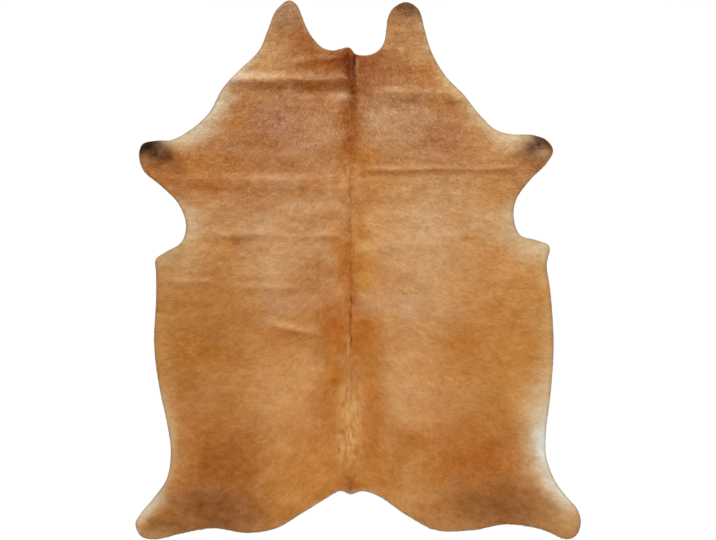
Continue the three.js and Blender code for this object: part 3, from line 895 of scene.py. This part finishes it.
def lying_hair():
    """Strand lines that follow each lock's own map, in mm across and along, and specks of grain."""
    material, tree = new_finish("lying_cow_hair")
    strand = add(tree, "ShaderNodeUVMap", {"uv_map": "Strand"}, {})
    scaled = add(tree, "ShaderNodeMapping", {}, {
        "Vector": strand.outputs["UV"], "Scale": (1 / STRAND_WIDE, 1 / STRAND_LONG, 1)})
    lines = add(tree, "ShaderNodeTexNoise", {}, {
        "Vector": scaled.outputs["Vector"], "Scale": 1.0, "Detail": 1.0})
    place = add(tree, "ShaderNodeTexCoord", {}, {})
    grain = add(tree, "ShaderNodeTexNoise", {}, {
        "Vector": place.outputs["Object"], "Scale": 1 / (GRAIN * MM), "Detail": 1.0})
    both = add(tree, "ShaderNodeMath", {"operation": "MULTIPLY_ADD"}, {
        0: grain.outputs["Fac"], 1: GRAIN_WEIGHT, 2: lines.outputs["Fac"]})
    shade = add(tree, "ShaderNodeMapRange", {}, {
        "Value": both.outputs["Value"], "From Min": 0.9, "From Max": 2.1, "To Min": 0.95, "To Max": 1.05})
    gloss = add(tree, "ShaderNodeMapRange", {}, {
        "Value": lines.outputs["Fac"], "From Min": 0.25, "From Max": 0.75, "To Min": 0.5, "To Max": 0.68})
    hair_finished(tree, lines, shade, gloss.outputs["Result"])
    return material


# %% Dense under-hair
# Between the locks the eye sees the roots of others, duller and in fine streaks. Roots are as thin as the
# strands, so the streaks are drawn 1.5 mm wide and 12 mm long.
ROOT_WIDE, ROOT_LONG, ROOT_ROUGH = 1.5, 12.0, 0.7


def under_hair():
    """Streaks laid across the hide, by place."""
    material, tree = new_finish("dense_under_hair")
    place = add(tree, "ShaderNodeTexCoord", {}, {})
    scaled = add(tree, "ShaderNodeMapping", {}, {
        "Vector": place.outputs["Object"], "Scale": (1 / (ROOT_LONG * MM), 1 / (ROOT_WIDE * MM), 1)})
    lines = add(tree, "ShaderNodeTexNoise", {}, {
        "Vector": scaled.outputs["Vector"], "Scale": 1.0, "Detail": 2.0})
    shade = add(tree, "ShaderNodeMapRange", {}, {
        "Value": lines.outputs["Fac"], "From Min": 0.25, "From Max": 0.75, "To Min": 0.95, "To Max": 1.03})
    hair_finished(tree, lines, shade, ROOT_ROUGH)
    return material


# %% Suede flesh side and cut edge
# Buffed split leather gives a pale dull nap with cloudy shading, and a knife cut through it shows darker
# fibres.


def leather(name, dark, pale, fibre, cloud, rough):
    """Two leather colours mixed by cloudy noise of one size in mm and fibres of another."""
    material, tree = new_finish(name)
    place = add(tree, "ShaderNodeTexCoord", {}, {})
    clouds = add(tree, "ShaderNodeTexNoise", {}, {
        "Vector": place.outputs["Object"], "Scale": 1 / (cloud * MM), "Detail": 3.0})
    nap = add(tree, "ShaderNodeTexNoise", {}, {
        "Vector": place.outputs["Object"], "Scale": 1 / (fibre * MM), "Detail": 2.0})
    both = add(tree, "ShaderNodeMath", {"operation": "MULTIPLY_ADD"}, {
        0: nap.outputs["Fac"], 1: 0.5, 2: clouds.outputs["Fac"]})
    part = add(tree, "ShaderNodeMapRange", {}, {
        "Value": both.outputs["Value"], "From Min": 0.5, "From Max": 1.0})
    colour = add(tree, "ShaderNodeMixRGB", {}, {
        "Fac": part.outputs["Result"], "Color1": (*linear(dark), 1), "Color2": (*linear(pale), 1)})
    bump = add(tree, "ShaderNodeBump", {}, {
        "Height": nap.outputs["Fac"], "Strength": 0.5, "Distance": 0.3 * MM})
    finished(tree, {
        "Base Color": colour.outputs["Color"], "Roughness": rough, "Normal": bump.outputs["Normal"]})
    return material


FLESH = leather("buffed_suede", "#B3A085", "#D2C3AA", fibre=1.5, cloud=70.0, rough=0.95)
CUT_EDGE = leather("raw_leather_edge", "#8A725A", "#B29878", fibre=1.2, cloud=25.0, rough=0.85)
for finish in (under_hair(), FLESH, CUT_EDGE):
    skin.data.materials.append(finish)
print("finishes:", [m.name for m in skin.data.materials])

# %% [markdown]
# ## The lying coat
# Short cow hair lies flat and sticks together in small locks. Blender's hair particles would draw single
# strands, but they are not meshes and can't be kept as such. Here each lock is a thin closed wedge of four
# points: two at the root, a low crown and a tip. All locks are worked out at once as arrays and joined
# into four meshes from neck to rump. They are spread evenly by area, follow the lie of the coat and are
# cut short where they would reach over the trimmed edge.

# %% Where the locks grow
LOCKS = 196_000
PIECES = ("neck_hair", "rib_hair", "loin_hair", "rump_hair")
LOCK_SEED = 7
rng = np.random.default_rng(LOCK_SEED)
reached = np.cumsum(cell_area)
pick = np.searchsorted(reached, (np.arange(LOCKS) + rng.uniform(0, 1, LOCKS)) / LOCKS * reached[-1])
pick = np.minimum(pick, len(cells) - 1)
u, v = rng.uniform(0, 1, (2, LOCKS, 1))
near_side = cells[pick, 0] * (1 - u) + cells[pick, 1] * u
far_side = cells[pick, 3] * (1 - u) + cells[pick, 2] * u
root = near_side * (1 - v) + far_side * v
root = root[np.argsort(-root[:, 1])]

# %% The lie of the coat
LOCK_LONG, LOCK_WIDE, LOCK_HIGH = (15.0, 24.0), (3.0, 4.4), (0.06, 0.18)  # least and most
HALF_HIDE, FLANK_TURN, TURN_POWER = 850.0, 88.0, 0.35  # mm out to the flank, degrees turned there, power
SWIRL, SWIRL_NOISE = 16.0, (150, 120, 61, 25)  # degrees, and blotch width, height, seed and turn
CURL, CURL_FRONT, CURL_NOISE = 8.0, 14.0, (30, 24, 62, 10)  # the same, with so many degrees more in front
DAB_TURN = 40.0  # degrees that the dabs of the tufts turn the hair
STRAY, STRAY_FRONT, STRAY_HIND = 16.0, 6.0, 22.0  # degrees that locks stray, more in front and behind
FRONT_SHORTER = 0.3  # share by which the locks are shorter in front
SAG = 0.1  # a lock on a fold is shortened until it follows the fold this closely
EDGE_GAP = 1.5  # a tip stays this far inside the trimmed edge
LEAST_LONG = 0.12  # least share of its length that a lock at the edge keeps
LEAST_LOSS = 0.01  # keeps the division by the loss of room from failing


def lie(x, y):
    """Direction of the hair: to the tail along the backbone, turning outwards with a power of the distance
    from it, with swirls from noise, more curl in front and turned tufts on the rump."""
    out = np.sign(x - BACKBONE_X) * FLANK_TURN * (np.abs(x - BACKBONE_X) / HALF_HIDE) ** TURN_POWER
    curl = CURL + CURL_FRONT * front_share(y)
    swirl = SWIRL * mottle(x, y, *SWIRL_NOISE) + curl * mottle(x, y, *CURL_NOISE)
    strip, dabs = tuft_dabs(x, y)
    angle = np.radians(out * (1 - strip) + swirl + DAB_TURN * strip * dabs)
    return np.column_stack([np.sin(angle), -np.cos(angle)])


heading = lie(root[:, 0], root[:, 1])
in_front, at_hind = front_share(root[:, 1]), hind_share(root[:, 1])
stray = STRAY + STRAY_FRONT * in_front + STRAY_HIND * at_hind
turn = np.radians(rng.normal(0, 1, LOCKS) * stray)[:, None]
heading = heading * np.cos(turn) - leftward(heading) * np.sin(turn)
long = rng.uniform(*LOCK_LONG, LOCKS) * (1 - FRONT_SHORTER * in_front)
reach = heading * long[:, None]
at_root, at_half, at_tip = (lift(*(root + share * reach).T) for share in (0, 0.5, 1))
bend = np.abs(at_half - (at_root + at_tip) / 2)
long = long * np.sqrt(SAG / np.maximum(bend, SAG))
room, tip_room = room_at(root), room_at(root + heading * long[:, None])
short = (room - EDGE_GAP) / np.maximum(room - tip_room, LEAST_LOSS)
long = np.where(tip_room < EDGE_GAP, long * np.clip(short, LEAST_LONG, 1), long)
print("lock length in mm, mean and least:", round(float(long.mean()), 1), round(float(long.min()), 1))

# %% Points and faces of all locks
CROWN = 0.35  # share of the length at which a lock is highest
LEAST_WIDE = 0.45  # least share of its width that a shortened lock keeps
BOW = 0.06  # how far the tips bow sideways, as a share of the length
ROOT_SUNK = 0.06  # how deep the roots lie in the under-hair
TIP_RISE, TIP_SHARE = 0.03, 0.5  # the tip lies this high, and this share of the crown's height higher
wide = rng.uniform(*LOCK_WIDE, LOCKS) * np.clip(long / LOCK_LONG[0], LEAST_WIDE, 1)
high = rng.uniform(*LOCK_HIGH, LOCKS)
sideways = -leftward(heading)
bow = rng.normal(0, BOW, LOCKS)[:, None] * long[:, None] * sideways
plan = np.stack([
    root - sideways * wide[:, None] / 2,
    root + sideways * wide[:, None] / 2,
    root + heading * (long * CROWN)[:, None],
    root + heading * long[:, None] + bow,
], axis=1)
sunk = np.full(LOCKS, -ROOT_SUNK)
rise = np.stack([sunk, sunk, high, TIP_RISE + TIP_SHARE * high], axis=1)
x, y = plan[..., 0].ravel(), plan[..., 1].ravel()
tall = (lift(x, y) + bed(x, y)).reshape(LOCKS, 4) + rise
lock_points = np.concatenate([plan, tall[..., None]], axis=2)
across_root, to_tip, to_crown = (lock_points[:, k] - lock_points[:, 0] for k in (1, 3, 2))
base = np.cross(across_root, to_tip)
base_height = tall[:, 0] - (base[:, :2] * to_crown[:, :2]).sum(1) / base[:, 2]
lock_points[:, 2, 2] = np.maximum(tall[:, 2], base_height + LOCK_HIGH[0])
LOCK_FACES = np.array([(0, 3, 1), (0, 2, 3), (1, 3, 2), (0, 1, 2)])
print("lock points:", lock_points.shape, "lowest and highest mm:", lock_points[..., 2].min().round(2),
      lock_points[..., 2].max().round(2))

# %% Normals and colours of all locks
# y and how much locks differ there in lightness, in sRGB steps
LOCK_SPREAD = np.array([(-200, 0.027), (150, 0.036), (400, 0.047), (600, 0.062)])
# root, root, crown and tip against the lock's own tone: roots painted darker as shade deep in the coat
LOCK_PAINTED_DEPTH = np.array([-0.012, -0.012, 0.0, 0.008])


def upright(x, y):
    """Unit normals of the lifted skin: minus its slopes in x and y, and 1, brought to length 1."""
    normal = np.column_stack([-slope(x, y, 1, 0), -slope(x, y, 0, 1), np.ones_like(x)])
    return normal / np.linalg.norm(normal, axis=1)[:, None]


lock_normals = upright(x, y).reshape(LOCKS, 4, 3)
tone = coat_colour(x, y).reshape(LOCKS, 4, 3)
spread = np.interp(root[:, 1], *LOCK_SPREAD.T)
own = (rng.normal(0, 1, LOCKS) * spread)[:, None] + LOCK_PAINTED_DEPTH
lock_colours = hair_light(np.clip(tone + own[..., None], 0, 1))
print("mean linear colour of the locks:", lock_colours.mean((0, 1)).round(3).tolist())

# %% Four joined meshes of hair
# root, root, crown and tip in a lock's own cell of the bake map
BAKE_CORNERS = np.array([(0.15, 0.12), (0.85, 0.12), (0.5, 0.4), (0.5, 0.9)])
STARTS, START_STEP = 997, 4.7  # places in the strand noise where locks start, and mm between them


def map_locks(piece, name, corners):
    """A UV map from the four corners of every lock."""
    layer = piece.data.uv_layers.new(name=name)
    loops = corners[:, LOCK_FACES.ravel()].astype(np.float32)
    layer.uv.foreach_set("vector", loops.ravel())


def hair_piece(name, chosen, material):
    """One mesh of the chosen locks, with a map in mm for the strands and one with a cell for each lock."""
    count = len(chosen)
    faces = (np.arange(count)[:, None, None] * 4 + LOCK_FACES).reshape(-1, 3)
    piece = make_mesh(name, lock_points[chosen].reshape(-1, 3), faces)
    paint(piece, lock_colours[chosen].reshape(-1, 3))
    length, start = long[chosen], (chosen % STARTS) * START_STEP
    half = wide[chosen] / 2
    across = np.stack([start - half, start + half, start, start], axis=1)
    along = np.stack([0 * length, 0 * length, length * CROWN, length], axis=1)
    strand = np.stack([across, along], axis=2)
    map_locks(piece, "Strand", strand)
    side = math.ceil(math.sqrt(count))
    cell = np.stack([np.arange(count) % side, np.arange(count) // side], axis=1)
    map_locks(piece, "OFBake", (cell[:, None, :] + BAKE_CORNERS) / side)
    piece.data.polygons.foreach_set("use_smooth", np.ones(len(faces), dtype=bool))
    piece.data.normals_split_custom_set_from_vertices(lock_normals[chosen].reshape(-1, 3))
    piece.data.materials.append(material)
    return piece


hair_finish = lying_hair()
groups = np.array_split(np.arange(LOCKS), len(PIECES))
hair = [hair_piece(name, group, hair_finish) for name, group in zip(PIECES, groups)]
print("hair pieces:", {piece.name: len(piece.data.polygons) for piece in hair})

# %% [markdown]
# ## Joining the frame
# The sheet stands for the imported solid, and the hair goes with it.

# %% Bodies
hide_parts("hide")
for piece in (skin, *hair):
    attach(piece, "root")

# %% [markdown]
# ## Floor, light and camera
# The floor is plain white paper. One broad soft lamp stands beyond the neck and high up, so that each fold
# has a light side and a dark side, and an even pale surround fills the rest. Together they give a white
# surface its own colour, so the hex values come out as written. The camera hangs straight above.

# %% Floor
FLOOR_HALF = 16.0  # metres from its middle to each side
FLOOR_DROP = 0.2  # so that the flesh side doesn't flicker against the floor
TOOTH = 3.0  # mm between the specks of the paper


def backdrop_paper():
    """Matte white paper with a very faint tooth, so it is not a dead flat colour."""
    material, tree = new_finish("matte_backdrop_paper")
    place = add(tree, "ShaderNodeTexCoord", {}, {})
    tooth = add(tree, "ShaderNodeTexNoise", {}, {
        "Vector": place.outputs["Object"], "Scale": 1 / (TOOTH * MM)})
    colour = add(tree, "ShaderNodeMixRGB", {}, {
        "Fac": tooth.outputs["Fac"], "Color1": (*linear("#FEFEFE"), 1), "Color2": (*linear("#FFFFFF"), 1)})
    finished(tree, {"Base Color": colour.outputs["Color"], "Roughness": 1.0, "Specular IOR Level": 0.0})
    return material


side = np.array([(-1, -1), (1, -1), (1, 1), (-1, 1)]) * FLOOR_HALF / MM
floor = make_mesh("floor", np.column_stack([side, np.full(4, -FLOOR_DROP)]), np.array([[0, 1, 2, 3]]))
floor.data.materials.append(backdrop_paper())
print("floor", 2 * FLOOR_HALF, "m wide")

# %% Lamp and surround
LIGHT = 1.02  # light on a level surface; over 1 makes up for the shade between the locks
LAMP_SHARE = 0.64  # share of the light on a level surface that comes from the lamp
LAMP_HEIGHT = 40.0  # degrees above the floor
SOFTNESS = 24.0  # degrees that the lamp spans

lamp = bpy.data.objects.new("soft_lamp", bpy.data.lights.new("soft_lamp", "SUN"))
lamp.data.energy = LIGHT * LAMP_SHARE * math.pi / math.sin(math.radians(LAMP_HEIGHT))
lamp.data.angle = math.radians(SOFTNESS)
lamp.rotation_euler = (math.radians(LAMP_HEIGHT - 90), 0, 0)
bpy.context.scene.collection.objects.link(lamp)

world = bpy.data.worlds.new("pale_surround")
world.use_nodes = True
background = world.node_tree.nodes["Background"]
background.inputs["Color"].default_value = (1, 1, 1, 1)
background.inputs["Strength"].default_value = LIGHT * (1 - LAMP_SHARE)
bpy.context.scene.world = world
bpy.context.scene.view_settings.view_transform = "Standard"
print("lamp energy", round(lamp.data.energy, 2))

# %% Camera
IMAGE_WIDE = 716  # pixels across the picture
LENS, SENSOR = 85.0, 36.0
HIDE_LONG, HIDE_PIXELS = 2200, 538.9  # length of the hide in mm and in the picture, whose height it fills
PIXEL = HIDE_LONG / HIDE_PIXELS  # mm of floor for each pixel
AIM = (-0.6, -1.4)  # mm from the middle of the hide to the middle of the picture

view = bpy.data.cameras.new("above")
view.lens, view.sensor_width, view.sensor_fit = LENS, SENSOR, "HORIZONTAL"
camera = bpy.data.objects.new("above", view)
camera.location = (AIM[0] * MM, AIM[1] * MM, IMAGE_WIDE * PIXEL * MM * LENS / SENSOR)
bpy.context.scene.collection.objects.link(camera)
bpy.context.scene.camera = camera
print("camera height in metres:", round(camera.location.z, 3))
